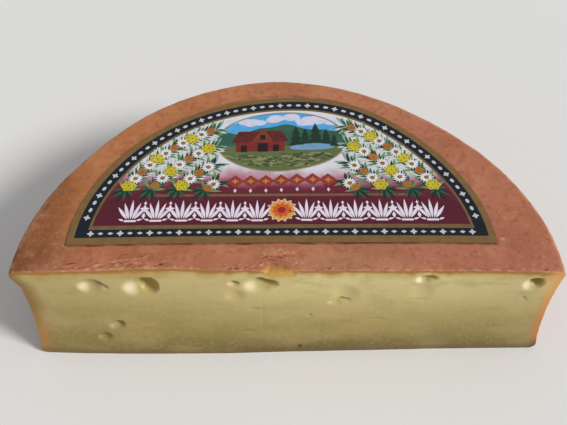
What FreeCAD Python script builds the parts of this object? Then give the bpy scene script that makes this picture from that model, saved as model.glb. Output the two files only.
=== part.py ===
import FreeCAD, Part
import math
import os

# Half a wheel of Abondance, a pressed mountain cheese, with the paper label glued on its top.
# Millimetres, +Z up. The origin is on the base, midway between the foot of the cut face, which
# looks along -Y, and the back of the round heel. X runs along the cut. Until it is exported, the
# model is drawn about the wheel's own axis, with the cut face's top edge at y = 0.

# Wheel: a flat top and base, and between them a heel that is drawn in by the pressing cloth and
# swells to a rounded lip at either rim.
WHEEL_RADIUS = 190.0
WHEEL_HEIGHT = 90.0
WAIST_INSET = 5.2
WAIST_HEIGHT = 38.0
BASE_RIM_INSET = 3.0
TOP_LIP_RADIUS = 3.5
BASE_LIP_RADIUS = 5.0

# Cut: the knife leaned, so that the foot of the face stands out before its top edge.
CUT_LEAN = 6.0

# Label: a half disc of paper, its straight edge along the cut.
LABEL_THICKNESS = 0.3
LABEL_FRONT_GAP = 24.0
LABEL_RIM_GAP = 16.0
LABEL_SHIFT = -3.7
LABEL_TURN = 0.35

# Chip: a flake of rind that broke off the top's cut edge.
CHIP_MIDDLE = -5.3
CHIP_WIDTH = 23.5
CHIP_APEX = -12.0
CHIP_REACH = 9.0
CHIP_DEPTH = 2.8

# Eyes: the hollows that the cut opened. Each has its place on the cut face, as a share of the
# waist radius across and of the height up, then its width, height, depth and turn in degrees.
EYES = [
    (-0.757, 0.812, 19.0, 11.5, 4.0, -12.0),
    (-0.566, 0.792, 23.0, 18.0, 8.0, 0.0),
    (-0.655, 0.372, 8.6, 9.0, 2.6, 0.0),
    (-0.720, 0.221, 11.0, 10.0, 3.0, 20.0),
    (-0.203, 0.850, 8.5, 6.5, 3.0, 0.0),
    (-0.201, 0.707, 11.0, 12.5, 1.8, 0.0),
    (-0.104, 0.838, 25.0, 14.0, 6.0, 4.0),
    (0.216, 0.725, 17.0, 19.0, 3.2, 0.0),
    (0.525, 0.897, 10.5, 7.5, 4.5, 0.0),
    (0.504, 0.752, 15.0, 15.0, 2.2, 0.0),
    (0.938, 0.855, 9.8, 10.5, 6.0, 0.0),
]

# Slits: flattened eyes, in the same terms.
SLITS = [
    (-0.543, 0.309, 13.0, 2.2, 2.2, 3.0),
    (-0.131, 0.552, 10.4, 1.8, 1.8, 0.0),
    (-0.154, 0.287, 14.0, 2.3, 2.2, 0.0),
    (0.210, 0.642, 11.0, 3.0, 2.8, 4.0),
    (0.217, 0.384, 16.0, 1.9, 1.9, 3.0),
    (0.341, 0.422, 15.0, 1.9, 1.9, 3.0),
    (0.126, 0.265, 9.0, 1.8, 1.8, 0.0),
    (0.499, 0.655, 16.0, 2.0, 2.0, 3.0),
    (0.902, 0.669, 7.0, 1.6, 2.0, -55.0),
    (0.049, 0.064, 6.5, 3.6, 3.0, 80.0),
]

WAIST_RADIUS = WHEEL_RADIUS - WAIST_INSET
MIDDLE_Y = (WHEEL_RADIUS - CUT_LEAN) / 2
VERTICAL = FreeCAD.Vector(0, 0, 1)


def section_point(radius, height):
    """A point of the wheel's section, which lies in the XZ plane."""
    return FreeCAD.Vector(radius, 0, height)


def arc(centre, start, end, middle_angle):
    """The arc about centre from start to end that passes the given direction, in radians."""
    radius = (start - centre).Length
    outward = section_point(math.cos(middle_angle), math.sin(middle_angle))
    return Part.Arc(start, centre + outward * radius, end).toShape()


def rim(rim_radius, lip_radius, lip_height, face_height):
    """One rim of the section: the flank arc that leaves the waist upright and the lip arc that it
    meets in a smooth line, rounding over to the face. Returns the lip's end on the face, the lip
    and the flank."""
    lip_centre = section_point(rim_radius - lip_radius, lip_height)
    rise = abs(lip_height - WAIST_HEIGHT)
    inset = rim_radius - lip_radius - WAIST_RADIUS
    swell = rim_radius - WAIST_RADIUS
    flank_radius = (inset ** 2 + rise ** 2 - lip_radius ** 2) / (2 * swell)
    flank_centre = section_point(WAIST_RADIUS + flank_radius, WAIST_HEIGHT)
    waist = section_point(WAIST_RADIUS, WAIST_HEIGHT)
    to_lip = (lip_centre - flank_centre).normalize()
    seam = flank_centre + to_lip * flank_radius
    face_end = section_point(lip_centre.x, face_height)
    side = 1 if face_height > WAIST_HEIGHT else -1
    seam_angle = math.atan2(-to_lip.z, -to_lip.x)
    lip = arc(lip_centre, face_end, seam, (seam_angle + side * math.pi / 2) / 2)
    waist_side = math.atan2(to_lip.z, to_lip.x)
    flank = arc(flank_centre, seam, waist, (waist_side + side * math.pi) / 2)
    return face_end, lip, flank


def wheel_section():
    """The section of the wheel from its axis to the heel, as a face."""
    top_end, top_lip, top_flank = rim(
        WHEEL_RADIUS, TOP_LIP_RADIUS, WHEEL_HEIGHT - TOP_LIP_RADIUS, WHEEL_HEIGHT)
    base_end, base_lip, base_flank = rim(
        WHEEL_RADIUS - BASE_RIM_INSET, BASE_LIP_RADIUS, BASE_LIP_RADIUS, 0)
    top_centre = section_point(0, WHEEL_HEIGHT)
    base_centre = section_point(0, 0)
    top_line = Part.makeLine(top_centre, top_end)
    base_line = Part.makeLine(base_end, base_centre)
    axis_line = Part.makeLine(base_centre, top_centre)
    outline = [top_line, top_lip, top_flank, base_flank, base_lip, base_line, axis_line]
    return Part.Face(Part.Wire(Part.__sortEdges__(outline)))


def cut_face_y(height):
    """Where the leaning cut face lies at a height."""
    return CUT_LEAN * (height / WHEEL_HEIGHT - 1)


def other_half():
    """What the knife takes away: all that lies before the cut face."""
    profile = []
    for height in (-WHEEL_HEIGHT, 2 * WHEEL_HEIGHT):
        profile.append(FreeCAD.Vector(-WHEEL_RADIUS, cut_face_y(height), height))
        profile.append(FreeCAD.Vector(-WHEEL_RADIUS, -2 * WHEEL_RADIUS, height))
    low_edge, low_front, high_edge, high_front = profile
    side = Part.Face(Part.makePolygon([low_edge, low_front, high_front, high_edge, low_edge]))
    return side.extrude(FreeCAD.Vector(2 * WHEEL_RADIUS, 0, 0))


def hollow(across, up, width, height, depth, turn):
    """An ellipsoid centred on the cut face, which leaves one eye or slit open to the cut."""
    stretch = FreeCAD.Matrix()
    stretch.scale(width / 2, depth, height / 2)
    ellipsoid = Part.makeSphere(1).transformGeometry(stretch)
    ellipsoid.rotate(FreeCAD.Vector(), FreeCAD.Vector(0, 1, 0), -turn)
    middle = up * WHEEL_HEIGHT
    ellipsoid.translate(FreeCAD.Vector(across * WAIST_RADIUS, cut_face_y(middle), middle))
    return ellipsoid


def rind_chip():
    """The missing flake: a wedge that thins out from the cut edge, three-cornered from above."""
    left = FreeCAD.Vector(CHIP_MIDDLE - CHIP_WIDTH / 2, 0, 0)
    right = FreeCAD.Vector(CHIP_MIDDLE + CHIP_WIDTH / 2, 0, 0)
    apex = FreeCAD.Vector(CHIP_APEX, CHIP_REACH, 0)
    plan = Part.Face(Part.makePolygon([left, right, apex, left]))
    column = plan.extrude(VERTICAL * WHEEL_HEIGHT * 2)
    edge = FreeCAD.Vector(left.x, 0, WHEEL_HEIGHT)
    wedge_points = [
        edge,
        edge + FreeCAD.Vector(0, CHIP_REACH, 0),
        edge - VERTICAL * CHIP_DEPTH,
        edge,
    ]
    wedge_end = Part.Face(Part.makePolygon(wedge_points))
    wedge = wedge_end.extrude(FreeCAD.Vector(CHIP_WIDTH, 0, 0))
    return column.common(wedge)


def cheese():
    """The half wheel: the whole wheel from two mirrored half turns, halved by the knife, and less
    its eyes, slits and chip."""
    right = wheel_section().revolve(FreeCAD.Vector(), VERTICAL, 180)
    right.rotate(FreeCAD.Vector(), VERTICAL, -90)
    left = right.mirror(FreeCAD.Vector(), FreeCAD.Vector(1, 0, 0))
    half = right.fuse(left).cut(other_half())
    hollows = [hollow(*values) for values in EYES + SLITS]
    body = half.cut(hollows).cut(rind_chip())
    return body.Solids[0]


def label():
    """The label: a half disc that lies flat on the wheel's top."""
    radius = WHEEL_RADIUS - LABEL_RIM_GAP - LABEL_FRONT_GAP
    centre = FreeCAD.Vector(LABEL_SHIFT, LABEL_FRONT_GAP, WHEEL_HEIGHT)
    right = centre + FreeCAD.Vector(radius, 0, 0)
    left = centre - FreeCAD.Vector(radius, 0, 0)
    back = centre + FreeCAD.Vector(0, radius, 0)
    outline = Part.Wire([Part.Arc(right, back, left).toShape(), Part.makeLine(left, right)])
    paper = Part.Face(outline).extrude(VERTICAL * LABEL_THICKNESS)
    paper.rotate(centre, VERTICAL, LABEL_TURN)
    return paper


def export(shape, node):
    """Set the shape into the part's own frame and write it."""
    shape.translate(FreeCAD.Vector(0, -MIDDLE_Y, 0))
    shape.exportStep("parts/" + node + ".step")


os.makedirs("parts", exist_ok=True)
export(cheese(), "cheese_half_wheel")
export(label(), "paper_label")
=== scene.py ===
"""Half a wheel of Abondance cheese with a paper label on its top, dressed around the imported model.

Lengths are millimetres in the wheel's own axes until place() turns them into the frame's metres:
the wheel's axis is at x = y = 0, the cut face's top edge at y = 0 and the base at z = 0.
"""
import itertools
import math
import random

import bpy
import numpy as np
from mathutils import Matrix, Vector


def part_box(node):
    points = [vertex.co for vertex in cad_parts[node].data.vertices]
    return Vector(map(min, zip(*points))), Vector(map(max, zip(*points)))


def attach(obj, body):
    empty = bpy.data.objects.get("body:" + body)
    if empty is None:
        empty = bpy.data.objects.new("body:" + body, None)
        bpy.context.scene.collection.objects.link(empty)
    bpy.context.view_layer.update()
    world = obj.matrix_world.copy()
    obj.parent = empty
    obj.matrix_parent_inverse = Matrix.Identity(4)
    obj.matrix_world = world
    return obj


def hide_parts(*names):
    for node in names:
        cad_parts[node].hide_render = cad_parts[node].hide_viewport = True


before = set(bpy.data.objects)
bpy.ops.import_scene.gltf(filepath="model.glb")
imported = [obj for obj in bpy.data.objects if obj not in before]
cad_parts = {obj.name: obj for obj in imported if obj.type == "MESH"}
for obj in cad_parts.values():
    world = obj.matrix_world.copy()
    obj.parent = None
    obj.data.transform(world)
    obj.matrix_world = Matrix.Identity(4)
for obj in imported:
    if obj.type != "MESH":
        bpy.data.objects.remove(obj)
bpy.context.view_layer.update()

MM = 0.001
CHEESE_LOW, CHEESE_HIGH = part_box("cheese_half_wheel")
LABEL_LOW, LABEL_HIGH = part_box("paper_label")

# The wheel's section and the lean of its cut face, as in the solid.
WHEEL_RADIUS = (CHEESE_HIGH.x - CHEESE_LOW.x) / 2 / MM
WHEEL_HEIGHT = (CHEESE_HIGH.z - CHEESE_LOW.z) / MM
CUT_LEAN = (CHEESE_HIGH.y - CHEESE_LOW.y) / MM - WHEEL_RADIUS
CUT_EDGE_Y = CHEESE_LOW.y / MM + CUT_LEAN
WAIST_RADIUS = WHEEL_RADIUS - 5.2
WAIST_HEIGHT = 38.0
TOP_LIP_RADIUS = 3.5
BASE_RIM_RADIUS = WHEEL_RADIUS - 3.0
BASE_LIP_RADIUS = 5.0

# The label: a half disc, its centre on its straight side, which bows back in its middle.
LABEL_RADIUS = (LABEL_HIGH.x - LABEL_LOW.x) / 2 / MM
LABEL_X = (LABEL_HIGH.x + LABEL_LOW.x) / 2 / MM
LABEL_Y = LABEL_HIGH.y / MM - CUT_EDGE_Y - LABEL_RADIUS
LABEL_TURN = math.radians(0.35)
LABEL_BOW = 1.6
LABEL_BOTTOM = LABEL_LOW.z / MM
LABEL_TOP = LABEL_HIGH.z / MM

# The height of a printed layer, and how many shapes in a row lie at heights of their own in it.
INK_STEP = 0.03
OVERLAPS = 13


def place(points):
    """Points in the wheel's millimetres as the frame's metres."""
    return (np.asarray(points, float) + (0, CUT_EDGE_Y, 0)) * MM


def fade(value, start, end):
    """A smooth step from 0 at start to 1 at end."""
    t = np.clip((value - start) / (end - start), 0, 1)
    return t * t * (3 - 2 * t)


def grain(points, cell, seed):
    """Smooth noise from -1 to 1 at each point, with about one bump to a cell."""
    scaled = np.asarray(points, float) / cell
    base = np.floor(scaled).astype(np.int64)
    part = scaled - base
    part = part * part * (3 - 2 * part)
    total = np.zeros(len(scaled))
    for corner in itertools.product((0, 1), repeat=3):
        near = base + corner
        mixed = near[:, 0] * 374761393 + near[:, 1] * 668265263 + near[:, 2] * 1274126177
        mixed = mixed + seed * 974634777
        mixed = (mixed ^ (mixed >> 13)) * 1103515245
        value = ((mixed ^ (mixed >> 16)) & 0xffff) / 32767.5 - 1
        weight = np.prod(np.where(corner, part, 1 - part), axis=1)
        total += weight * value
    return total


# ---- The cheese's form

# Eyes on the cut face: place across as a share of the waist radius, place up as a share of the
# height, width, height, depth and turn in degrees. A hole has a firm edge, a dish a soft one.
HOLES = [
    (-0.694, 0.820, 10.1, 3.3, 2.6, -38.0),
    (-0.522, 0.806, 14.0, 17.0, 6.5, 12.0),
    (-0.654, 0.376, 7.1, 7.4, 2.6, 0.0),
    (-0.719, 0.221, 9.2, 6.9, 1.8, 25.0),
    (-0.197, 0.850, 6.0, 4.8, 2.4, 0.0),
    (-0.075, 0.855, 15.0, 9.2, 6.0, -12.0),
    (0.210, 0.653, 11.9, 2.9, 2.4, -4.0),
    (0.534, 0.908, 9.3, 5.3, 4.5, -8.0),
    (0.934, 0.861, 9.4, 10.5, 7.0, 0.0),
    (0.049, 0.064, 5.0, 3.2, 2.2, 70.0),
    (0.089, 0.470, 4.2, 2.0, 1.3, -40.0),
]
DISHES = [
    (-0.740, 0.826, 21.0, 17.0, 3.8, 0.0),
    (-0.560, 0.798, 26.5, 22.5, 5.0, 0.0),
    (-0.664, 0.360, 15.3, 12.8, 1.8, 0.0),
    (-0.719, 0.221, 14.3, 12.9, 1.6, 0.0),
    (-0.111, 0.833, 24.0, 20.0, 4.2, 0.0),
    (-0.205, 0.850, 10.0, 7.7, 1.4, 0.0),
    (-0.201, 0.707, 18.0, 17.0, 1.5, 0.0),
    (0.216, 0.725, 24.0, 24.0, 1.9, 0.0),
    (0.182, 0.633, 13.9, 7.8, 1.6, 0.0),
    (0.507, 0.889, 12.8, 10.5, 3.0, 0.0),
    (0.504, 0.750, 22.0, 20.2, 1.3, 0.0),
    (0.919, 0.837, 16.6, 17.2, 3.4, 0.0),
]
SLITS = [
    (-0.542, 0.309, 15.3, 2.6, 1.2, -3.0),
    (-0.130, 0.552, 13.0, 2.5, 1.1, 0.0),
    (-0.154, 0.287, 15.1, 2.8, 1.4, 0.0),
    (0.216, 0.384, 17.0, 2.3, 1.0, 0.0),
    (0.341, 0.422, 16.9, 2.3, 1.1, 2.0),
    (0.125, 0.265, 8.0, 2.2, 0.9, 0.0),
    (0.498, 0.655, 19.8, 2.5, 1.0, 3.0),
    (0.900, 0.669, 7.8, 2.1, 1.1, -50.0),
    (-0.095, 0.447, 1.6, 45.0, 0.3, 0.0),
]

# How gently each kind runs out to its rim: a firm edge is below 1.
HOLE_SOFTNESS = 0.55
DISH_SOFTNESS = 2.0
SLIT_SOFTNESS = 0.8

# The chip in the top's cut edge, where the flake of rind is gone.
CHIP_LEFT = -16.0
CHIP_WIDTH = 24.0
CHIP_REACH = 9.0
CHIP_DEPTH = 3.0
CUT_WAVE_REACH = 30.0

# The grid's points across the cut and round the heel. Rings run from the rim to a pole inside
# each face, and are close together on the top, where the crust's marks are.
CUT_POINTS = 401
HEEL_POINTS = 261
TOP_RINGS = np.concatenate([np.linspace(1, 0.6, 46), np.linspace(0.6, 0, 7)[1:]])
BASE_RINGS = np.linspace(1, 0, 6)
POLE_Y = 70.0

# The cheese's materials by their place in its list.
RIND = 0
PASTE = 1


def rim_line(rim_radius, lip_radius, lip_height, side, steps):
    """Half of the section, from the waist out to a face: a flank arc and the lip it runs into."""
    inset = rim_radius - lip_radius - WAIST_RADIUS
    rise = abs(lip_height - WAIST_HEIGHT)
    flank_radius = (inset ** 2 + rise ** 2 - lip_radius ** 2) / (2 * (rim_radius - WAIST_RADIUS))
    flank_x = WAIST_RADIUS + flank_radius
    lip_x = rim_radius - lip_radius
    seam = math.atan2(rise, flank_x - lip_x)
    flank_steps, lip_steps = steps
    line = []
    for angle in np.linspace(0, seam, flank_steps + 1):
        line.append((flank_x - flank_radius * math.cos(angle),
                     WAIST_HEIGHT + side * flank_radius * math.sin(angle)))
    for angle in np.linspace(-seam, math.pi / 2, lip_steps + 1)[1:]:
        line.append((lip_x + lip_radius * math.cos(angle),
                     lip_height + side * lip_radius * math.sin(angle)))
    return line


def section_line():
    """The heel's outline from the base to the top, as radius and height."""
    base_half = rim_line(BASE_RIM_RADIUS, BASE_LIP_RADIUS, BASE_LIP_RADIUS, -1, (26, 8))
    top_half = rim_line(
        WHEEL_RADIUS, TOP_LIP_RADIUS, WHEEL_HEIGHT - TOP_LIP_RADIUS, 1, (50, 8))
    return np.array(base_half[:0:-1] + top_half)


def cut_y(height):
    """Where the leaning cut face lies at a height."""
    return CUT_LEAN * (height / WHEEL_HEIGHT - 1)


def grid_faces(rows, columns, first):
    """Four-sided faces between the points of a grid stored row by row."""
    corner = np.arange((rows - 1) * columns).reshape(rows - 1, columns)[:, :-1].ravel() + first
    return np.stack([corner, corner + 1, corner + 1 + columns, corner + columns], axis=1)


def face_disc(edge_points, pole, fractions, upward, first):
    """A flat face filled by shrinking its outline towards a pole inside it."""
    rings = [pole + (edge_points - pole) * share for share in fractions]
    faces = grid_faces(len(fractions), len(edge_points), first)
    return np.concatenate(rings), faces if upward else faces[:, ::-1]


def ring(radius, height, turn):
    """The wheel's outline at a height, from the cut's right end round to its left one. Turn runs
    from 0 to 1."""
    start = math.asin(cut_y(height) / radius)
    angles = start + (math.pi - 2 * start) * turn
    return np.stack([radius * np.cos(angles), radius * np.sin(angles),
                     np.full(len(turn), height)], axis=1)


def cut_row(radius, height, across):
    """The line across the cut face at a height. Across runs from -1 to 1."""
    half = math.sqrt(radius ** 2 - cut_y(height) ** 2)
    return np.stack([half * across, np.full(len(across), cut_y(height)),
                     np.full(len(across), height)], axis=1)


def cheese_grid():
    """The half wheel's smooth surface: points, faces and each face's material."""
    heel = section_line()
    across = np.linspace(-1, 1, CUT_POINTS)
    turn = np.linspace(0, 1, HEEL_POINTS)
    cut = np.concatenate([cut_row(r, z, across) for r, z in heel])
    side = np.concatenate([ring(r, z, turn) for r, z in heel])
    parts = [(cut, grid_faces(len(heel), len(across), 0), PASTE)]
    parts.append((side, grid_faces(len(heel), len(turn), len(cut)), RIND))
    ends = ((heel[-1], TOP_RINGS, True), (heel[0], BASE_RINGS, False))
    for (radius, height), fractions, upward in ends:
        outline = np.concatenate([cut_row(radius, height, across), ring(radius, height, turn)[1:]])
        pole = np.array([0.0, POLE_Y, height])
        first = sum(len(points) for points, _, _ in parts)
        points, faces = face_disc(outline, pole, fractions, upward, first)
        parts.append((points, faces, RIND))
    points = np.concatenate([part[0] for part in parts])
    faces = np.concatenate([part[1] for part in parts])
    kinds = np.concatenate([np.full(len(part[1]), part[2]) for part in parts])
    _, kept, shared = np.unique(np.round(points, 3), axis=0, return_index=True, return_inverse=True)
    return points[kept], shared.ravel()[faces], kinds


def in_ellipse(across, up, width, height, turn):
    """How far inside a turned ellipse each point lies: 1 at its middle, 0 from its rim on."""
    angle = math.radians(turn)
    along = across * math.cos(angle) + up * math.sin(angle)
    beside = up * math.cos(angle) - across * math.sin(angle)
    spread = (along / (width / 2)) ** 2 + (beside / (height / 2)) ** 2
    return np.clip(1 - spread, 0, 1)


def hollow_depth(x, z, hollows, softness):
    """How deep a list of hollows goes in at each point of the cut face."""
    depth = np.zeros(len(x))
    for across, up, width, height, deep, turn in hollows:
        dx, dz = x - across * WAIST_RADIUS, z - up * WHEEL_HEIGHT
        depth = np.maximum(depth, deep * in_ellipse(dx, dz, width, height, turn) ** softness)
    return depth


def chip_depth(points):
    """How much of the top is missing at each point: most at the cut, less inwards."""
    x = points[:, 0] + 1.2 * grain(points, 3.5, 21) + 0.5 * grain(points, 1.4, 23)
    y = points[:, 1] + 0.9 * grain(points, 3.0, 22)
    share = np.clip(y / CHIP_REACH, 0, 1)
    low = CHIP_LEFT + 2.5 * share
    high = CHIP_LEFT + CHIP_WIDTH * (1 - 0.80 * share)
    inside = fade(x, low - 0.9, low + 1.6) * (1 - fade(x, high - 3.2, high + 0.9))
    inside *= 1 - fade(y, CHIP_REACH - 1.4, CHIP_REACH + 0.4)
    return CHIP_DEPTH * inside * (1 - 0.6 * share)


def crust_marks():
    """Flakes and cracks of the rind behind the cut edge: x, y, length, width, turn, lift, tone.
    A flake is lifted and pale, and a crack is sunk and dark."""
    marks = [
        (-148.0, 7.1, 9.0, 1.5, 10.0, -1.0, -1.0),
        (-101.1, 11.8, 8.5, 1.6, 30.0, -1.0, -1.0),
        (-109.0, 8.0, 6.0, 1.2, 8.0, -0.6, -0.6),
        (-117.5, 6.2, 16.0, 1.0, 0.0, -0.5, -0.6),
        (-118.8, 7.8, 11.0, 1.4, 15.0, 0.5, 0.8),
        (-131.0, 4.6, 10.0, 2.0, 10.0, 0.5, 0.9),
        (-151.0, 4.2, 10.0, 1.9, 2.0, 0.5, 0.7),
        (-86.0, 6.4, 8.0, 1.3, 16.0, 0.4, 0.7),
        (-104.0, 5.4, 9.0, 3.0, -5.0, 0.5, 0.6),
        (-107.0, 9.5, 20.0, 9.0, 20.0, 0.2, 0.30),
        (-15.8, 12.9, 6.0, 1.4, 32.0, -1.2, -1.0),
        (-12.0, 13.6, 5.5, 1.1, -14.0, -0.9, -0.8),
        (-6.8, 12.6, 7.5, 1.5, -10.0, -1.2, -1.0),
        (-2.6, 14.0, 5.0, 1.2, 24.0, -1.0, -0.9),
        (2.4, 13.8, 8.5, 1.1, -5.0, -1.0, -0.9),
        (-11.5, 10.6, 10.0, 4.0, -8.0, -0.7, -0.5),
        (-8.4, 11.6, 7.0, 1.3, -14.0, 0.5, 0.9),
        (-6.0, 17.2, 27.0, 8.5, -6.0, 0.25, 0.42),
        (4.5, 9.6, 15.0, 9.0, -28.0, 0.2, 0.36),
        (-18.4, 5.2, 4.4, 3.2, 30.0, 0.6, 1.0),
        (-24.0, 3.6, 6.0, 2.0, 8.0, 0.3, 0.7),
        (143.3, 7.6, 18.0, 1.1, 8.0, 0.3, 0.6),
        (174.5, 5.4, 5.0, 2.6, 20.0, 0.6, 1.0),
        (150.6, 28.7, 5.4, 4.6, 0.0, 0.6, 1.0),
        (157.0, 48.1, 1.9, 5.0, 0.0, 0.3, 0.8),
        (77.5, 180.0, 13.0, 3.6, 42.0, 0.1, 0.4),
    ]
    chance = random.Random(11)
    zones = [
        (55, (-119, -95), (4.0, 15.5), 4.2),
        (40, (-160, -80), (2.0, 6.5), 5.0),
        (110, (-19, 8), (14.0, 21.5), 2.4),
        (60, (-3, 13), (3.0, 13.0), 2.6),
        (22, (-36, -18), (1.5, 12.0), 3.2),
        (130, (-184, 184), (0.2, 2.4), 4.5),
    ]
    for count, (x_low, x_high), (y_low, y_high), longest in zones:
        for _ in range(count):
            length = chance.uniform(0.3, 1) * longest
            pale = chance.random() < 0.68
            marks.append((
                chance.uniform(x_low, x_high),
                chance.uniform(y_low, y_high),
                length,
                length * chance.uniform(0.25, 0.6),
                chance.uniform(-35, 35),
                chance.uniform(0.15, 0.45) if pale else -chance.uniform(0.2, 0.6),
                chance.uniform(0.3, 0.85) if pale else -chance.uniform(0.3, 0.8),
            ))
    return marks


def crust(points):
    """The lift and the tone that the crust's marks give each point of the top."""
    lift = np.zeros(len(points))
    tint = np.zeros(len(points))
    x, y = points[:, 0], points[:, 1]
    for mark_x, mark_y, length, width, turn, height, colour in crust_marks():
        near = np.nonzero((abs(x - mark_x) < length) & (abs(y - mark_y) < length))[0]
        share = in_ellipse(x[near] - mark_x, y[near] - mark_y, length, width, turn) ** 0.7
        lift[near] += height * share
        tint[near] += colour * share
    return np.clip(lift, -1.3, 1.0), np.clip(tint, -1, 1)


def hollow_slope(x, z, hollows, softness):
    """How steeply the hollows' walls face right and up, towards the light, below zero where they
    face left and down; the eyes' painted highlight and painted shade are made from it."""
    reach = 0.8
    right, up = 0.94 * reach, 0.34 * reach
    ahead = hollow_depth(x + right, z + up, hollows, softness)
    behind = hollow_depth(x - right, z - up, hollows, softness)
    return (ahead - behind) / (2 * reach)


def label_reach(across, back):
    """The label's reach over a true half disc's: less along its arc, save right of its top."""
    angle = np.arctan2(back, across)
    bulge = np.exp(-((angle - math.radians(70)) / math.radians(20)) ** 2)
    return 1 - 0.028 * (1 - np.cos(angle) ** 8) + 0.030 * bulge


def label_bow(across, back):
    """How far the label's straight side, and the print next to it, bows back in its middle."""
    return LABEL_BOW * (1 - (across / LABEL_RADIUS) ** 2) * np.clip(1 - back / 60, 0, 1)


def label_edge_shadow(x, y):
    """The painted shadow, dark, on the rind along the label's edge, widest before its straight side.
    """
    dx, dy = x - LABEL_X, y - LABEL_Y
    before = dx * math.sin(LABEL_TURN) - dy * math.cos(LABEL_TURN) + label_bow(dx, 0)
    beyond = np.hypot(dx, dy) / label_reach(dx, dy) - LABEL_RADIUS
    along = (1 - fade(before, 0.3, 1.8)) * (before > -1) * (1 - fade(beyond, -1, 2))
    around = 0.6 * (1 - fade(beyond, 0, 1.4)) * (beyond > -2) * (before < 0)
    return np.maximum(along, around)


def out_of_round(x, y):
    """The wheel's radius over a true circle's: less on the shoulders, more at the back."""
    angle = np.arctan2(np.maximum(y, 0), x) - math.radians(7)
    return 1 - 0.028 * np.sin(2 * angle) ** 2 + 0.018 * np.sin(angle) ** 4


def cut_wave(x, height_share):
    """How far the hand-cut face wanders in depth: back at its top edge, most to the left of the
    middle, and out at its foot on the left."""
    top_back = 1.6 + 2.3 * np.exp(-((x + 86) / 38) ** 2) - 1.2 * fade(abs(x), 140, 188)
    foot_out = 3.4 * (1 - fade(x, -60, 120)) - 0.8 * fade(x, 70, 160) - 1.0 * fade(-x, 100, 188)
    return top_back * height_share - foot_out * (1 - height_share)


def weather(points):
    """The form that pressing, cutting and ageing give the smooth half wheel, and the maps that its
    materials read, with painted shade, shadow and highlight among them."""
    x, y, z = points.T
    moved = points.copy()
    radius = np.hypot(x, y)
    inward = y - cut_y(z)
    top = fade(z, WHEEL_HEIGHT - 14, WHEEL_HEIGHT)
    on_top = z > WHEEL_HEIGHT - 0.01
    on_cut = inward < 0.01

    swell = 0.7 * grain(points, 55, 1) + 0.3 * grain(points, 17, 2)
    swell += 0.18 * grain(points, 5, 3) * fade(radius, 170, 186)
    swell *= fade(radius, 90, 186) / np.maximum(radius, 1)
    rounder = out_of_round(x, y) - 1 + swell
    moved[:, 0] += x * rounder
    moved[:, 1] += y * rounder * fade(inward, 0, 20)
    left_end = fade(-x, WHEEL_RADIUS - 45, WHEEL_RADIUS - 4)
    moved[:, 0] += left_end * (3.6 - 3.8 * fade(z, WHEEL_HEIGHT - 18, WHEEL_HEIGHT - 4))

    lift, tint = crust(points)
    front = 1 - fade(inward, 0, 3)
    moved[:, 2] += top * (0.25 * grain(points, 30, 4) - 0.45)
    moved[:, 2] += on_top * lift * fade(y, 0, 0.6)
    ragged = 0.55 * grain(points, 7, 5) + 0.4 * grain(points, 2.6, 6)
    moved[:, 2] += on_top * front * ragged
    missing = chip_depth(points)
    moved[:, 2] -= top * missing

    wave = cut_wave(x, z / WHEEL_HEIGHT)
    holes = hollow_depth(x, z, HOLES, HOLE_SOFTNESS)
    depth = holes + hollow_depth(x, z, DISHES, DISH_SOFTNESS)
    depth += hollow_depth(x, z, SLITS, SLIT_SOFTNESS)
    depth += 0.45 * grain(points, 48, 7) + 0.14 * grain(points, 13, 8)
    depth += 0.06 * grain(points * (1, 1, 0.12), 2.2, 9)
    edge_wave = fade(z, WHEEL_HEIGHT - 2.5, WHEEL_HEIGHT) * (0.5 * grain(points, 4, 10) - 0.2)
    moved[:, 1] += wave * (1 - fade(inward, 0, CUT_WAVE_REACH))
    moved[:, 1] += np.where(on_cut, depth + edge_wave, 0)

    rim_x = np.interp(z, *section_line()[:, ::-1].T)
    side_gap = rim_x - abs(x)
    wobble = 1 + 0.35 * grain(points, 14, 12)
    ripple = 1 + 0.3 * grain(points, 14, 12) + 0.35 * grain(points, 5, 14)
    # The hollows' slope towards the light, for the eyes' painted highlight and painted shade.
    slope = hollow_slope(x, z, DISHES, DISH_SOFTNESS)
    slope += 0.3 * hollow_slope(x, z, SLITS, SLIT_SOFTNESS)
    under_chip = np.exp(-((x - CHIP_LEFT - CHIP_WIDTH * 0.45) / (CHIP_WIDTH * 0.48)) ** 4)
    under_chip *= fade(z, WHEEL_HEIGHT - 10 - 3 * grain(points, 6, 15), WHEEL_HEIGHT - 1)
    maps = {
        "crust": tint,
        "bare": np.where(on_cut, under_chip, fade(missing, 0.2, 1.0) * on_top),
        "edge_line": on_top * (1 - fade(y, 0.2, 1.5 + 0.9 * grain(points, 5, 13))),
        "pale_lip": fade(radius, WHEEL_RADIUS - 4.5, WHEEL_RADIUS - 1.5)
        * fade(z, WHEEL_HEIGHT - 5, WHEEL_HEIGHT - 1.5),
        # A painted highlight along the top's lip, on the right.
        "rim_line": fade(radius, WHEEL_RADIUS - 2.4, WHEEL_RADIUS - 0.4)
        * fade(z, WHEEL_HEIGHT - 4.4, WHEEL_HEIGHT - 2.2) * fade(x, -90, 110),
        "edge_shadow": label_edge_shadow(x, y) * on_top,
        "top_band": 1 - fade((WHEEL_HEIGHT - z) / ripple, 0.5, 10.0),
        "left_band": (1 - fade(side_gap / wobble, 0.5, 14.0)) * (x < 0),
        "right_band": (1 - fade(side_gap / wobble, 0.5, 7.5 + 6.0 * z / WHEEL_HEIGHT)) * (x > 0),
        "base_band": 1 - fade(z / wobble, 0.5, 9.0),
        # Painted shade in the holes, by their depth.
        "eye": fade(holes, 0.5, 4.0) * on_cut,
        "eye_painted_highlight": np.clip(slope, 0, 1) * on_cut * (1 - fade(holes, 0.2, 1.2)),
        "eye_painted_shade": np.clip(-slope, 0, 1) * on_cut,
    }
    return moved, maps


# ---- Materials

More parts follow.
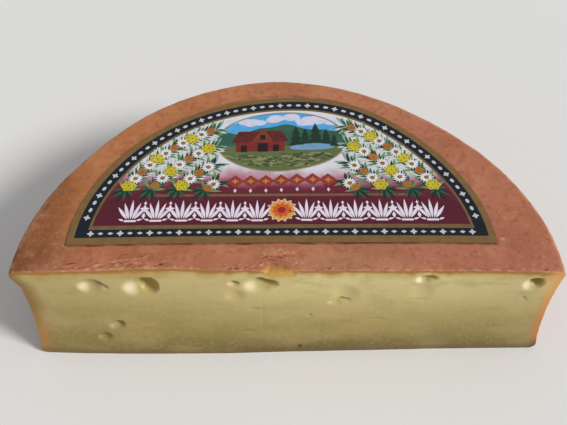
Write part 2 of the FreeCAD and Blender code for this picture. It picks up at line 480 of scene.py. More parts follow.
def tone(red, green, blue):
    """A display colour from 0 to 255 as the linear one that a shader takes."""
    linear = []
    for level in (red, green, blue):
        share = level / 255
        linear.append(share / 12.92 if share <= 0.04045 else ((share + 0.055) / 1.055) ** 2.4)
    return (*linear, 1.0)


class Finish:
    """A material and short ways to add its nodes. Sockets are passed on as values."""

    def __init__(self, name, roughness, gloss=0.5):
        self.material = bpy.data.materials.new(name)
        self.material.use_nodes = True
        self.tree = self.material.node_tree
        self.shader = self.tree.nodes["Principled BSDF"]
        self.shader.inputs["Roughness"].default_value = roughness
        self.shader.inputs["Specular IOR Level"].default_value = gloss
        self.where = self.tree.nodes.new("ShaderNodeTexCoord").outputs["Object"]

    def feed(self, socket, value):
        """Links a socket or sets a plain value."""
        if isinstance(value, bpy.types.NodeSocket):
            self.tree.links.new(value, socket)
        else:
            socket.default_value = value

    def node(self, kind, inputs, **settings):
        """A new node's outputs, once its settings are made and its inputs fed."""
        node = self.tree.nodes.new("ShaderNode" + kind)
        for name, value in settings.items():
            setattr(node, name, value)
        for name, value in inputs.items():
            self.feed(node.inputs[name], value)
        return node.outputs

    def map(self, name):
        """A map stored on the mesh."""
        return self.node("Attribute", {}, attribute_name=name)["Fac"]

    def noise(self, size, detail, stretch=(1, 1, 1), seed=0.0, rough=0.5):
        """Noise with bumps about size millimetres across, from 0 to 1."""
        shift = (seed, seed * 0.7, seed * 1.3)
        at = self.node("Mapping", {"Vector": self.where, "Scale": stretch, "Location": shift})
        inputs = {"Vector": at["Vector"], "Scale": 1 / (size * MM), "Detail": detail}
        return self.node("TexNoise", {**inputs, "Roughness": rough})["Fac"]

    def along(self, axis):
        """The place along an axis of the frame, in metres."""
        return self.node("SeparateXYZ", {"Vector": self.where})[axis]

    def span(self, value, low, high, to_low=0.0, to_high=1.0):
        """The value's range from low to high as another range, kept inside it, with soft ends."""
        ends = {"From Min": low, "From Max": high, "To Min": to_low, "To Max": to_high}
        smooth = "SMOOTHSTEP"
        return self.node("MapRange", {"Value": value, **ends}, interpolation_type=smooth)["Result"]

    def maths(self, operation, first, second):
        return self.node("Math", {0: first, 1: second}, operation=operation)["Value"]

    def times(self, first, second):
        return self.maths("MULTIPLY", first, second)

    def patches(self, size, detail, low, high, least=0.0, **kind):
        """Patches of noise about size millimetres across, from least up to 1, with soft edges."""
        return self.span(self.noise(size, detail, **kind), low, high, least)

    def mix(self, first, second, share):
        """Two colours mixed by a share, through the sockets that the node has for colours."""
        return self.node("Mix", {"Factor": share, 6: first, 7: second}, data_type="RGBA")[2]

    def bump(self, height, depth, strength):
        """Relief in millimetres on the shader's normal, over any set before."""
        inputs = {"Strength": strength, "Distance": depth * MM, "Height": height}
        before = self.shader.inputs["Normal"]
        if before.is_linked:
            inputs["Normal"] = before.links[0].from_socket
        self.feed(before, self.node("Bump", inputs)["Normal"])

    def colour(self, value):
        """Gives the surface its colour."""
        self.paint = value
        self.feed(self.shader.inputs["Base Color"], value)

    def wash(self, over, mask, most=1.0):
        """Lays a display colour, or a socket's colours, over the surface, as strongly as the mask
        times the most that it may count."""
        if not isinstance(over, bpy.types.NodeSocket):
            over = tone(*over)
        self.colour(self.mix(self.paint, over, self.times(mask, most)))


def rind_finish():
    """Washed rind: matt orange brown, pinker to the right and redder along the cut."""
    finish = Finish("washed_rind", 0.75, 0.25)
    x, y = finish.along("X"), finish.along("Y")
    right = finish.span(x, -0.12, 0.13)
    finish.colour(finish.mix(tone(180, 112, 68), tone(182, 113, 86), right))
    front = finish.span(y, (CUT_EDGE_Y + 32) * MM, (CUT_EDGE_Y + 8) * MM)
    finish.wash((180, 110, 86), front, 0.75)
    tan = finish.times(finish.span(x, -0.005, 0.025), front)
    tan = finish.times(tan, finish.span(x, 0.105, 0.060))
    finish.wash((190, 136, 100), tan, 0.6)
    far_left = finish.times(finish.span(x, -0.138, -0.180), finish.patches(12, 4, 0.28, 0.56, 0.6))
    finish.wash((118, 72, 38), far_left, 0.95)
    back = finish.span(y, 0.03, 0.085)
    finish.wash((200, 138, 98), back, 0.3)
    stains = finish.patches(42, 4, 0.42, 0.68, seed=3)
    finish.wash((148, 88, 58), stains, 0.4)
    bloom = finish.patches(16, 4, 0.48, 0.72, seed=8)
    finish.wash((196, 136, 100), bloom, 0.42)
    mottle = finish.patches(4.5, 4, 0.48, 0.70, seed=5)
    finish.wash((140, 78, 52), mottle, 0.42)
    fleck = finish.patches(2.6, 5, 0.53, 0.68, seed=2, rough=0.65)
    finish.wash((204, 146, 108), fleck, 0.34)
    patchy = finish.patches(9, 3, 0.35, 0.6, seed=4)
    # Paler patches along the top's lip.
    lip_paling = finish.times(finish.map("pale_lip"), patchy)
    finish.wash((206, 158, 124), lip_paling, 0.5)
    # Painted highlight: a thin pale pink line along the lip, mostly on the right.
    rim_line = finish.times(finish.map("rim_line"), finish.span(patchy, 0, 1, 0.5, 1))
    finish.wash((238, 196, 176), rim_line, 0.55)
    marks = finish.map("crust")
    finish.wash((218, 172, 130), finish.span(marks, 0.1, 1.0, 0, 0.55))
    finish.wash((84, 44, 30), finish.span(marks, -0.1, -0.9, 0, 0.85))
    edge = finish.times(finish.map("edge_line"), finish.patches(6, 3, 0.35, 0.58, seed=14))
    finish.wash((214, 162, 112), edge, 0.75)
    # Painted shadow on the rind along the label's edge.
    seam = finish.times(finish.map("edge_shadow"), finish.patches(14, 2, 0.35, 0.6, 0.3))
    finish.wash((84, 44, 30), seam, 0.85)
    # The bared paste in the chip: golden at the cut, browner inwards, partly the under-rind's own
    # colour, partly painted shade on the slope under the crack.
    inwards = finish.span(y, CUT_EDGE_Y * MM, (CUT_EDGE_Y + CHIP_REACH * 0.9) * MM)
    exposed = finish.mix(tone(212, 168, 78), tone(164, 110, 66), inwards)
    rough = finish.patches(3, 4, 0.4, 0.7, seed=6)
    exposed = finish.mix(exposed, tone(178, 128, 62), finish.times(rough, 0.6))
    finish.wash(exposed, finish.map("bare"))
    finish.bump(finish.noise(26, 3, seed=12), 0.8, 0.5)
    finish.bump(finish.noise(3.2, 3, seed=9), 0.44, 0.6)
    finish.bump(finish.noise(0.9, 2, seed=7), 0.22, 0.6)
    return finish.material


def paste_finish():
    """Cut paste: pale yellow, with painted shade that makes it darker and greener downwards, and
    golden bands under the rind.
    """
    finish = Finish("cut_paste", 0.42, 0.5)
    x, z = finish.along("X"), finish.along("Z")
    # Painted shade: the paste darkens and greens towards its foot.
    body = finish.mix(tone(162, 140, 74), tone(218, 200, 138), finish.span(z, 0.022, 0.084))
    finish.colour(finish.mix(tone(94, 78, 16), body, finish.span(z, -0.010, 0.040)))
    # Painted shade: darker towards the left.
    left = finish.span(x, 0.02, -0.18)
    finish.wash((142, 120, 56), left, 0.56)
    right = finish.span(x, 0.05, 0.18)
    finish.wash((146, 126, 78), right, 0.12)
    cloud = finish.patches(38, 4, 0.4, 0.65, stretch=(0.7, 1, 1.6), seed=1)
    finish.wash((202, 174, 118), cloud, 0.30)
    green = finish.patches(24, 3, 0.48, 0.7, stretch=(0.8, 1, 1.4), seed=5)
    finish.wash((154, 142, 72), green, 0.34)
    mottle = finish.patches(3.0, 3, 0.45, 0.7, seed=6)
    finish.wash((192, 178, 118), mottle, 0.18)
    streak = finish.patches(9, 3, 0.56, 0.72, stretch=(0.35, 1, 1.6), seed=9)
    finish.wash((140, 122, 58), streak, 0.2)
    # Painted shade on the eyes' walls that face left and down, and a painted highlight on those that
    # face right and up.
    shade = finish.span(finish.map("eye_painted_shade"), 0.06, 0.8)
    finish.wash((112, 98, 42), shade, 0.6)
    shine = finish.span(finish.map("eye_painted_highlight"), 0.16, 0.70)
    finish.wash((248, 230, 200), shine, 0.72)
    # Painted shade in the holes: darker gold the deeper they go.
    finish.wash((186, 152, 66), finish.map("eye"), 0.75)
    top_band, bare = finish.map("top_band"), finish.map("bare")
    ragged = finish.patches(5, 3, 0.3, 0.7, 0.7, seed=11)
    finish.wash((190, 144, 54), finish.times(top_band, ragged))
    rim = finish.times(finish.span(top_band, 0.66, 0.98), finish.span(bare, 0, 1, 1, 0))
    finish.wash((158, 102, 36), rim, 0.8)
    finish.wash((206, 162, 78), bare, 0.85)
    # The golden band under the rind on the left: partly its own colour, partly painted shade that
    # darkens it.
    left_side = finish.mix(tone(170, 116, 48), tone(134, 96, 34), finish.span(z, 0.02, 0.06))
    finish.wash(left_side, finish.map("left_band"), 0.92)
    # Painted shadow: the right band darkens to olive brown at its foot.
    right_low = finish.mix(tone(96, 70, 34), tone(204, 124, 50), finish.span(z, 0.002, 0.018))
    right_side = finish.mix(right_low, tone(228, 162, 84), finish.span(z, 0.03, 0.08))
    finish.wash(right_side, finish.map("right_band"), 0.95)
    # Darker along the foot: partly the paste's own colour by the base rind, partly painted shade.
    finish.wash((108, 84, 38), finish.map("base_band"), 0.75)
    finish.shader.inputs["Subsurface Weight"].default_value = 0.12
    finish.shader.inputs["Subsurface Radius"].default_value = (1.0, 0.6, 0.25)
    finish.shader.inputs["Subsurface Scale"].default_value = 4 * MM
    finish.bump(finish.noise(7, 3, stretch=(0.6, 1, 1.5), seed=2), 0.35, 0.5)
    finish.bump(finish.noise(1.2, 2, stretch=(1, 1, 0.35), seed=4), 0.08, 0.5)
    return finish.material


def ink(name, light, dark=None):
    """A display colour on satin paper, uneven towards a dark one, by default a fifth darker."""
    finish = Finish(name, 0.5, 0.25)
    uneven = finish.patches(6, 3, 0.35, 0.7)
    light = tone(*light)
    darker = tone(*dark) if dark else (*(level * 0.8 for level in light[:3]), 1.0)
    finish.colour(finish.mix(light, darker, finish.times(uneven, 0.5)))
    finish.bump(finish.noise(1.1, 2), 0.03, 0.4)
    return finish.material


def field_finish():
    """The label's ground: burgundy below, passing through pink to white behind the garlands."""
    finish = Finish("label_ground", 0.5, 0.25)
    rise = finish.maths("SUBTRACT", finish.along("Y"), (LABEL_Y + CUT_EDGE_Y) * MM)
    rise = finish.maths("ADD", rise, finish.span(finish.noise(16, 2), 0.3, 0.7, -0.003, 0.003))
    finish.colour(finish.mix(tone(88, 28, 42), tone(112, 34, 54), finish.span(rise, 0.036, 0.054)))
    finish.wash((184, 128, 142), finish.span(rise, 0.052, 0.064))
    finish.wash((222, 220, 226), finish.span(rise, 0.061, 0.074))
    finish.bump(finish.noise(1.1, 2), 0.03, 0.4)
    return finish.material


# ---- Pieces

def add_object(name, data):
    """A new object in the scene."""
    added = bpy.data.objects.new(name, data)
    bpy.context.scene.collection.objects.link(added)
    return added


def add_piece(name, points, faces, materials):
    """A mesh piece that rides on the part."""
    mesh = bpy.data.meshes.new(name)
    mesh.from_pydata([tuple(p) for p in place(points)], [], [list(f) for f in faces])
    for material in materials:
        mesh.materials.append(material)
    piece = add_object(name, mesh)
    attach(piece, "root")
    return piece


def make_cheese():
    """The dressed half wheel, with its maps stored on the mesh for its materials."""
    points, faces, kinds = cheese_grid()
    moved, maps = weather(points)
    solid_faces, solid_kinds = [], []
    for face, kind in zip(faces.tolist(), kinds.tolist()):
        corners = list(dict.fromkeys(face))
        if len(corners) > 2:
            solid_faces.append(corners)
            solid_kinds.append(kind)
    materials = [rind_finish(), paste_finish()]
    cheese = add_piece("cheese", moved, solid_faces, materials)
    mesh = cheese.data
    mesh.polygons.foreach_set("material_index", solid_kinds)
    mesh.polygons.foreach_set("use_smooth", [True] * len(solid_faces))
    for name, values in maps.items():
        layer = mesh.attributes.new(name, "FLOAT", "POINT")
        layer.data.foreach_set("value", np.asarray(values, np.float32))
    sharpen_cut_edges(mesh)
    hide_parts("cheese_half_wheel")


def sharpen_cut_edges(mesh):
    """Marks the edges where rind meets paste, so that they shade as a cut."""
    kind_at_edge = {}
    sharp = set()
    for polygon in mesh.polygons:
        for key in polygon.edge_keys:
            kind = kind_at_edge.setdefault(key, polygon.material_index)
            if kind != polygon.material_index:
                sharp.add(key)
    for edge in mesh.edges:
        if edge.key in sharp or edge.key[::-1] in sharp:
            edge.use_edge_sharp = True


# ---- The label. u runs along its straight side and v away from the cut, from its centre.

# How far the black band, the gold rule and the printed ground lie inside the paper's edge, along
# its arc and along its straight side.
BLACK_INSETS = (4.9, 6.2)
RULE_INSETS = (13.3, 13.2)
GROUND_INSETS = (15.2, 16.8)

# The steps of such an outline along its arc and along its straight side.
ARC_STEPS = 96
SIDE_STEPS = 24


def on_label(u, v, height):
    """A point of the label at a height over the base."""
    reach = float(label_reach(u, v))
    across, back = u * reach, v * reach + float(label_bow(u, v))
    cos, sin = math.cos(LABEL_TURN), math.sin(LABEL_TURN)
    return (LABEL_X + across * cos - back * sin, LABEL_Y + across * sin + back * cos, height)


def half_disc(arc_inset, line_inset):
    """The label's outline moved in from its arc and its straight side, from its right corner."""
    radius = LABEL_RADIUS - arc_inset
    start = math.asin(line_inset / radius)
    outline = []
    for angle in np.linspace(start, math.pi - start, ARC_STEPS + 1):
        outline.append((radius * math.cos(angle), radius * math.sin(angle)))
    left, right = outline[-1][0], outline[0][0]
    for u in np.linspace(left, right, SIDE_STEPS + 1)[1:-1]:
        outline.append((u, line_inset))
    return outline


def band(outer, inner):
    """The strip between two outlines of as many points, as four-sided shapes."""
    shapes = []
    for i in range(len(outer)):
        j = (i + 1) % len(outer)
        shapes.append([outer[i], outer[j], inner[j], inner[i]])
    return shapes


def box(left, low, right, high):
    return [(left, low), (right, low), (right, high), (left, high)]


def lozenge(u, v, width, height):
    return [(u + width / 2, v), (u, v + height / 2), (u - width / 2, v), (u, v - height / 2)]


def rounded(u, v, across, up, steps, turn=0.0):
    """An ellipse, by half its width and half its height."""
    cos, sin = math.cos(turn), math.sin(turn)
    outline = []
    for step in range(steps):
        angle = 2 * math.pi * step / steps
        x, y = across * math.cos(angle), up * math.sin(angle)
        outline.append((u + x * cos - y * sin, v + x * sin + y * cos))
    return outline


def leaf(u, v, length, width, angle, bend=0.0, steps=7):
    """A pointed leaf from its foot at u, v along an angle in radians, bent to one side."""
    upper, lower = [], []
    for step in range(steps + 1):
        t = step / steps
        half = width / 2 * math.sin(math.pi * t ** 0.85)
        sag = bend * length * t * t
        upper.append((length * t, sag + half))
        lower.append((length * t, sag - half))
    cos, sin = math.cos(angle), math.sin(angle)
    outline = lower + upper[-2:0:-1]
    return [(u + x * cos - y * sin, v + x * sin + y * cos) for x, y in outline]


def rosette(u, v, radius, petals, turn, slim):
    """Petals round a centre, one shape each, their width as a share of their length."""
    shapes = []
    for petal in range(petals):
        angle = turn + 2 * math.pi * petal / petals
        shapes.append(leaf(u, v, radius, radius * slim, angle, steps=4))
    return shapes


def add_print(name, shapes, material, layer):
    """One printed colour: flat shapes on their own thin layer above the paper, where shapes that
    follow each other lie at slightly different heights, as they may overlap."""
    points, faces = [], []
    for i, shape in enumerate(shapes):
        height = LABEL_TOP + INK_STEP * (layer + i % OVERLAPS / OVERLAPS)
        faces.append(list(range(len(points), len(points) + len(shape))))
        points.extend(on_label(u, v, height) for u, v in shape)
    add_piece(name, points, faces, [material])


def add_prints(group, prints):
    """A group's printed colours: name, shapes and layer, the ink's name and display colours."""
    for name, shapes, layer, ink_name, *tones in prints:
        add_print(group + name, shapes, ink(group + ink_name, *tones), layer)


def make_paper():
    """The label's sheet, whose gold ground shows as its border."""
    outline = half_disc(0, 0)
    count = len(outline)
    points = [on_label(u, v, LABEL_BOTTOM) for u, v in outline]
    points += [on_label(u, v, LABEL_TOP) for u, v in outline]
    faces = [list(range(count))[::-1], list(range(count, 2 * count))]
    for i in range(count):
        j = (i + 1) % count
        faces.append([i, j, count + j, count + i])
    gold = ink("label_gold", (130, 100, 60), (108, 82, 46))
    paper = add_piece("label_sheet", points, faces, [gold])
    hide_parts("paper_label")


# The print's places along the straight side or up from it.
CROSS_RULE = box(-102, 44.3, 102, 46.8)
FRIEZE_FOOT = 20.0
FRIEZE_PITCH = 18.0
FRIEZE_COUNT = 6
MARIGOLD_PLACE = (0.0, 30.5)
BAND_REACH = 134
BAND_SWEEP = math.radians(80)
DROPS_V = 50.4
CHAIN_V = 60.0
CHAIN_PITCH = 11.6

# The oval picture: its middle and half its width and height.
PICTURE_U = 0.0
PICTURE_V = 101.0
PICTURE_ACROSS = 50.0
PICTURE_UP = 31.0


def make_bands():
    """The black band, the gold rules and the printed ground."""
    black_edge = half_disc(*BLACK_INSETS)
    rule_edge = half_disc(*RULE_INSETS)
    field_edge = half_disc(*GROUND_INSETS)
    gold = ink("label_rule_gold", (122, 96, 62), (98, 74, 46))
    add_print("label_black_band", band(black_edge, rule_edge), ink("label_black", (22, 30, 38)), 1)
    add_print("label_gold_rule", band(rule_edge, field_edge), gold, 1)
    add_print("label_ground", [field_edge], field_finish(), 1)
    add_print("label_cross_rule", [CROSS_RULE], gold, 2)


def palmette(u, v, height):
    """Five slender leaves that fan out from a foot bar, with two drops beside it."""
    shapes = [box(u - 4.2, v, u + 4.2, v + 1.8)]
    for step in range(-2, 3):
        length = height - 3.0 - 2.2 * abs(step)
        shapes.append(leaf(u + 1.2 * step, v + 2.6, length, 2.5, math.pi / 2 - step * 0.29))
    for side in (-1, 1):
        shapes.append(leaf(u + side * 4.4, v + 1.2, 4.4, 1.7, math.pi / 2 - side * 1.2))
    return shapes


def knot(u, v):
    """A four-leaved rosette between two slim lozenges."""
    slim = [lozenge(u, v + 5.6, 2.8, 6.4), lozenge(u, v + 17.8, 2.2, 3.8)]
    return slim + rosette(u, v + 12.6, 3.4, 4, 0, 0.62)


def make_frieze():
    """Palmettes and knots in a row across the whole burgundy, with the marigold in its middle."""
    shapes = []
    for i in range(-FRIEZE_COUNT, FRIEZE_COUNT + 1):
        if i:
            shapes += palmette(FRIEZE_PITCH * i, FRIEZE_FOOT, 21.5)
        if abs(i + 0.5) > 1 and i < FRIEZE_COUNT:
            shapes += knot(FRIEZE_PITCH * (i + 0.5), FRIEZE_FOOT)
    add_print("label_white_trim", shapes, ink("label_white", (238, 224, 238)), 3)


def make_band_trim():
    """Small pale marks in the black band, all along its straight side and its arc. Every third
    one is a rosette."""
    shapes = []
    middle = (BLACK_INSETS[1] + RULE_INSETS[1]) / 2
    count = 40
    for i in range(count):
        u = -BAND_REACH + 2 * BAND_REACH * i / (count - 1)
        shapes += [lozenge(u, middle, 4.2, 2.6)] if i % 3 else rosette(u, middle, 2.6, 4, 0, 0.7)
    radius = LABEL_RADIUS - (BLACK_INSETS[0] + RULE_INSETS[0]) / 2
    count = 55
    for i in range(count):
        angle = math.pi / 2 + BAND_SWEEP * (2 * i / (count - 1) - 1)
        turn = angle - math.pi / 2
        u, v = radius * math.cos(angle), radius * math.sin(angle)
        shapes += [rounded(u, v, 2.1, 1.3, 8, turn)] if i % 3 else rosette(u, v, 2.6, 4, turn, 0.7)
    add_print("label_band_trim", shapes, ink("label_silver", (204, 204, 208)), 3)


def make_chain():
    """A chain of brick-red lozenges with amber hearts and pale drops under the picture."""
    links, hearts, drops = [], [], []
    for i in range(-3, 4):
        u = PICTURE_U + CHAIN_PITCH * i
        links.append(lozenge(u, CHAIN_V, 14.0, 12.5))
        hearts += rosette(u, CHAIN_V, 2.9, 4, 0, 0.6)
        drops.append(lozenge(u, DROPS_V, 2.6, 4.2))
    add_prints("label_", [
        ("brick_links", links, 3, "brick", (150, 58, 46)),
        ("brick_hearts", hearts, 4, "amber", (190, 132, 70)),
        ("drops", drops, 3, "drop", (226, 206, 220)),
    ])


def make_marigold():
    """A marigold with a brick-red heart in the middle of the frieze, from its rim inwards."""
    at = MARIGOLD_PLACE
    inner = rosette(*at, 7.6, 10, 0.2, 0.6) + [rounded(*at, 3.2, 3.2, 16)]
    rings = [
        ("marigold_rim", rosette(*at, 11.6, 14, 0, 0.62), (226, 200, 178)),
        ("marigold", rosette(*at, 10.6, 14, 0, 0.50), (222, 158, 62)),
        ("marigold_inner", inner, (214, 92, 42)),
        ("marigold_heart", [rounded(*at, 3.0, 3.0, 16)], (150, 44, 34)),
    ]
    for layer, (name, shapes, colour) in enumerate(rings, 2):
        add_print(name, shapes, ink(name, colour), layer)


def picture_half(u):
    """Half of the picture's height at a place across it."""
    share = min(1.0, abs(u - PICTURE_U) / PICTURE_ACROSS)
    return PICTURE_UP * (1 - share ** 2) ** 0.5


def picture_oval(margin):
    """The picture's outline, moved out by a margin."""
    return rounded(PICTURE_U, PICTURE_V, PICTURE_ACROSS + margin, PICTURE_UP + margin, 72)


def land(skyline):
    """The part of the picture below a skyline, in 64 upright strips."""
    strips = []
    edges = np.linspace(PICTURE_U - PICTURE_ACROSS, PICTURE_U + PICTURE_ACROSS, 65)
    for left, right in zip(edges[:-1], edges[1:]):
        corners = []
        for u in (left, right):
            half = picture_half(u)
            low = PICTURE_V - half
            corners.append((u, low, max(low, min(PICTURE_V + half, skyline(u)))))
        (u0, low0, high0), (u1, low1, high1) = corners
        if high0 > low0 or high1 > low1:
            strips.append([(u0, low0), (u1, low1), (u1, high1), (u0, high0)])
    return strips


def fir(u, v, height):
    """A fir tree of three tiers."""
    tiers = []
    for tier in range(3):
        low = v + height * 0.26 * tier
        width = height * (0.56 - 0.12 * tier)
        tiers.append([(u - width / 2, low), (u + width / 2, low), (u, low + height * 0.46)])
    return tiers


def make_picture():
    """A generic farm in an oval: sky, clouds, hills and a meadow, and on it one low gabled house,
    a lake and firs."""
    chance = random.Random(3)
    hills = land(lambda u: 114.5 + 4.0 * math.cos(u / 11.5) + 1.0 * math.sin(u / 4))
    meadow = land(lambda u: 95.5 - 1.5 * math.sin((u - 8) / 20))
    puffs = clouds(chance)
    blades = tufts(chance)
    foot, eaves = 90.5, 100.5
    wall = box(-35, foot, 3, eaves + 1)
    roof = [(-38.5, eaves), (6.5, eaves), (1, 112.5), (-33, 112.5)]
    gable = [(-23, eaves), (-5, eaves), (-14, 116)]
    openings = [box(u, foot, u + 4.6, 97.5) for u in (-31, -6)]
    openings += [box(-18, foot, -10, 99.5), box(-16, 103.5, -12, 108.5)]
    firs = []
    for u, v, height in ((12, 96, 21), (19, 97, 17), (27, 97.5, 22), (35, 96.5, 16), (41, 94, 13)):
        firs += fir(u, v, height)
    add_prints("picture_", [
        ("frame", band(picture_oval(0.9), picture_oval(-0.2)), 8, "gold", (158, 138, 98)),
        ("sky", [picture_oval(0)], 2, "blue", (78, 164, 220), (112, 184, 228)),
        ("cloud", puffs, 3, "white", (216, 216, 236)),
        ("hills", hills, 4, "green", (48, 92, 76), (70, 108, 84)),
        ("meadow", meadow, 5, "grass", (94, 108, 64), (112, 116, 76)),
        ("tufts", blades[::2], 6, "shade", (60, 78, 46)),
        ("straws", blades[1::2], 6, "hay", (146, 144, 104)),
        ("wall", [wall], 6, "timber", (128, 46, 36), (98, 34, 34)),
        ("roof", [roof], 7, "shingle", (104, 40, 36), (62, 26, 30)),
        ("gable", [gable], 8, "boards", (134, 60, 44), (104, 42, 36)),
        ("openings", openings, 9, "dark", (40, 24, 28)),
        ("lake", [rounded(24, 93.5, 17, 3.4, 40)], 6, "water", (120, 164, 196), (92, 138, 176)),
        ("firs", firs, 9, "fir", (34, 56, 44)),
    ])


def clouds(chance):
    """Three banks of cloud: middle, reach across, reach up and number of puffs."""
    puffs = []
    for u, v, wide, high, count in ((-27, 122.5, 12, 1.8, 12), (2, 126, 9, 1.6, 9),
                                    (27, 121.5, 13, 2.2, 14)):
        for _ in range(count):
            size = chance.uniform(2.4, 4.4)
            puffs.append(rounded(u + chance.uniform(-wide, wide), v + chance.uniform(-high, high),
                                 size * 1.5, size * 0.8, 14))
    return puffs


def tufts(chance):
    """Short strokes over the meadow, inside the oval."""
    strokes = []
    for _ in range(170):
        u = PICTURE_U + chance.uniform(-44, 44)
        v = PICTURE_V - chance.uniform(13.8, 27)
        if v > PICTURE_V - picture_half(u) + 1.5:
            strokes.append(rounded(u, v, chance.uniform(1.0, 3.0), 0.7, 8))
    return strokes


# The garlands' leaves, from the back to the front: each tone's light and dark colour.
LEAF_TONES = {
    "shadow": ((152, 170, 160), (124, 148, 136)),
    "pale": ((214, 220, 214), (190, 202, 192)),
    "fresh": ((116, 152, 96), (88, 128, 78)),
    "green": ((48, 98, 70), (34, 76, 56)),
    "dark": ((30, 54, 46), (22, 40, 38)),
}

# The stems of a garland, which follow the label's arc: the radius about its middle and the
# angles in degrees between which they run, from their foot.
STEMS = [(126, 24, 66), (109.5, 28, 61.5), (93, 34, 56), (76.5, 42, 50)]

# The steps between leaves and between flowers along a stem, and the height up the label from
# which its ground is pale enough for the palest leaves.
LEAF_PITCH = 3.7
FLOWER_PITCH = 8.6
PALE_GROUND = 62


def garland_leaves(side, chance):
    """The leaves of one side's garland by tone: pairs along each stem and a fan at its foot."""
    leaves = {name: [] for name in LEAF_TONES}

    def grow(name, u, v, length, width, angle):
        outline = leaf(u, v, length, width, angle, chance.uniform(-0.12, 0.12))
        leaves[name].append([(side * x, y) for x, y in outline])

    for radius, start, end in STEMS:
        count = round(math.radians(end - start) * radius / LEAF_PITCH)
        for i in range(count + 1):
            angle = math.radians(start + (end - start) * i / count)
            u, v, heading = radius * math.cos(angle), radius * math.sin(angle), angle + math.pi / 2
            for lean in (-1, 1):
                reach = chance.uniform(0.9, 1.1)
                if v > PALE_GROUND:
                    grow("shadow", u, v, 12.5 * reach, 2.6, heading + 0.55 * lean)
                    grow("pale", u, v, 11 * reach, 2.5, heading + 0.95 * lean)
                if i % 3 == 0:
                    grow("fresh", u, v, 11.5 * reach, 2.5, heading + 1.05 * lean)
                grow(("green", "dark")[i // 2 % 2], u, v, 9.5 * reach, 2.2, heading + 0.70 * lean)
        angle = math.radians(start)
        foot = (radius * math.cos(angle), radius * math.sin(angle))
        for step in range(-3, 4):
            tone_name = ("dark", "green")[step % 2]
            grow(tone_name, *foot, 13.5 - 1.5 * abs(step), 2.1, angle - math.pi / 2 + 0.38 * step)
    return leaves


def garland_flowers(side):
    """One side's flowers at even steps along its stems: petals by kind, and hearts. Every fourth
    place holds a ring of yellow blossom, and the rest a russet head or a daisy."""
    petals = {"white": [], "russet": [], "yellow": []}
    hearts = []

    def bloom(kind, u, v, radius, count, turn, slim):
        petals[kind] += rosette(u, v, radius, count, turn, slim)
        hearts.append(rounded(u, v, radius * 0.32, radius * 0.32, 10))

    for row, (radius, start, end) in enumerate(STEMS):
        count = max(2, round(math.radians(end - start) * radius / FLOWER_PITCH))
        for i in range(count):
            angle = math.radians(start + (end - start) * (i + 0.5) / count)
            u, v = side * radius * math.cos(angle), radius * math.sin(angle)
            place_in_four = (i + 2 * row + 1) % 4
            if place_in_four == 1:
                for step in range(7):
                    turn = 2 * math.pi * step / 6 + i
                    out = 3.8 if step < 6 else 0.0
                    at = (u + out * math.cos(turn), v + out * math.sin(turn))
                    bloom("yellow", *at, 2.4, 5, turn, 0.85)
            elif place_in_four == 3:
                bloom("russet", u, v, 4.8, 14, i, 0.24)
            else:
                bloom("white", u, v, 5.9, 14, i, 0.30)
    return petals, hearts


def make_garlands():
    """A formal garland on either side of the picture, from its leaves up to its flowers."""
    chance = random.Random(5)
    leaves, petals, hearts = {}, {}, []
    for side in (-1, 1):
        for name, shapes in garland_leaves(side, chance).items():
            leaves.setdefault(name, []).extend(shapes)
        side_petals, side_hearts = garland_flowers(side)
        hearts += side_hearts
        for name, shapes in side_petals.items():
            petals.setdefault(name, []).extend(shapes)
    add_prints("garland_", [
        (kind, leaves[kind], layer, kind, *tones)
        for layer, (kind, tones) in enumerate(LEAF_TONES.items(), 9)])
    add_prints("garland_", [
        ("daisies", petals["white"], 14, "white", (232, 230, 236)),
        ("russet", petals["russet"], 15, "orange", (184, 116, 56), (150, 84, 44)),
        ("yellow", petals["yellow"], 16, "blossom", (214, 200, 60), (186, 160, 40)),
        ("hearts", hearts, 17, "heart", (150, 112, 36)),
    ])


# ---- Camera, light and floor

# Where the camera stands about its target, in the wheel's millimetres, and its lens.
CAMERA_AZIMUTH = math.radians(-0.83)
CAMERA_ELEVATION = math.radians(50.38)
CAMERA_ROLL = math.radians(0.60)
CAMERA_DISTANCE = 651.4
CAMERA_TARGET = (-2.4, 66.5, 73.4)
CAMERA_LENS = 55.92

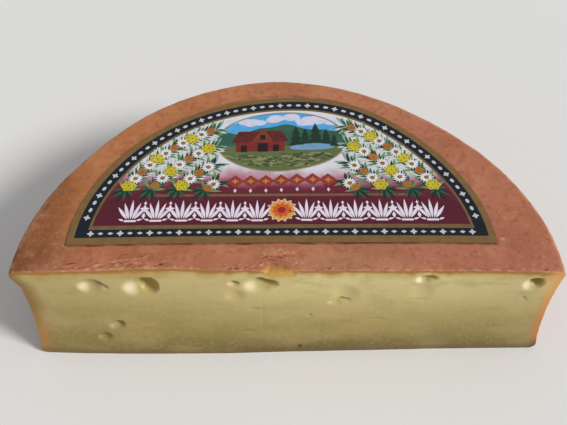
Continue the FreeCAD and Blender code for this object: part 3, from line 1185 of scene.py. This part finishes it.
# Where the broad, far lamp stands, and half the floor's side in metres.
SUN_DIRECTION = (2.20, -1.00, 1.85)
FLOOR_REACH = 30.0


def make_camera():
    """The camera at the photo's viewing angle."""
    back = Vector((
        math.sin(CAMERA_AZIMUTH) * math.cos(CAMERA_ELEVATION),
        -math.cos(CAMERA_AZIMUTH) * math.cos(CAMERA_ELEVATION),
        math.sin(CAMERA_ELEVATION)))
    level = Vector((0, 0, 1)).cross(back).normalized()
    upright = back.cross(level)
    right = level * math.cos(CAMERA_ROLL) + upright * math.sin(CAMERA_ROLL)
    up = upright * math.cos(CAMERA_ROLL) - level * math.sin(CAMERA_ROLL)
    data = bpy.data.cameras.new("camera")
    data.lens = CAMERA_LENS
    camera = add_object("camera", data)
    target = Vector(place([CAMERA_TARGET])[0])
    turn = Matrix((right, up, back)).transposed().to_4x4()
    camera.matrix_world = Matrix.Translation(target + back * CAMERA_DISTANCE * MM) @ turn
    bpy.context.scene.camera = camera


def make_studio():
    """A pale floor that shows as a light ground, and soft light from above and the right."""
    finish = Finish("pale_floor", 0.9)
    finish.colour(tone(232, 230, 226))
    mesh = bpy.data.meshes.new("floor")
    corners = box(-FLOOR_REACH, -FLOOR_REACH, FLOOR_REACH, FLOOR_REACH)
    mesh.from_pydata([(x, y, 0) for x, y in corners], [], [[0, 1, 2, 3]])
    mesh.materials.append(finish.material)
    floor = add_object("floor", mesh)
    world = bpy.data.worlds.new("studio")
    bpy.context.scene.world = world
    world.use_nodes = True
    background = world.node_tree.nodes["Background"]
    background.inputs["Color"].default_value = (0.93, 0.96, 1.0, 1.0)
    background.inputs["Strength"].default_value = 0.42
    sun = bpy.data.lights.new("key", "SUN")
    sun.energy = 2.5
    sun.angle = math.radians(17)
    turn = Vector(SUN_DIRECTION).to_track_quat("Z", "Y")
    add_object("key", sun).rotation_euler = turn.to_euler()


make_camera()
make_cheese()
make_paper()
make_bands()
make_frieze()
make_band_trim()
make_chain()
make_marigold()
make_picture()
make_garlands()
make_studio()

bpy.context.scene.view_settings.view_transform = "Standard"
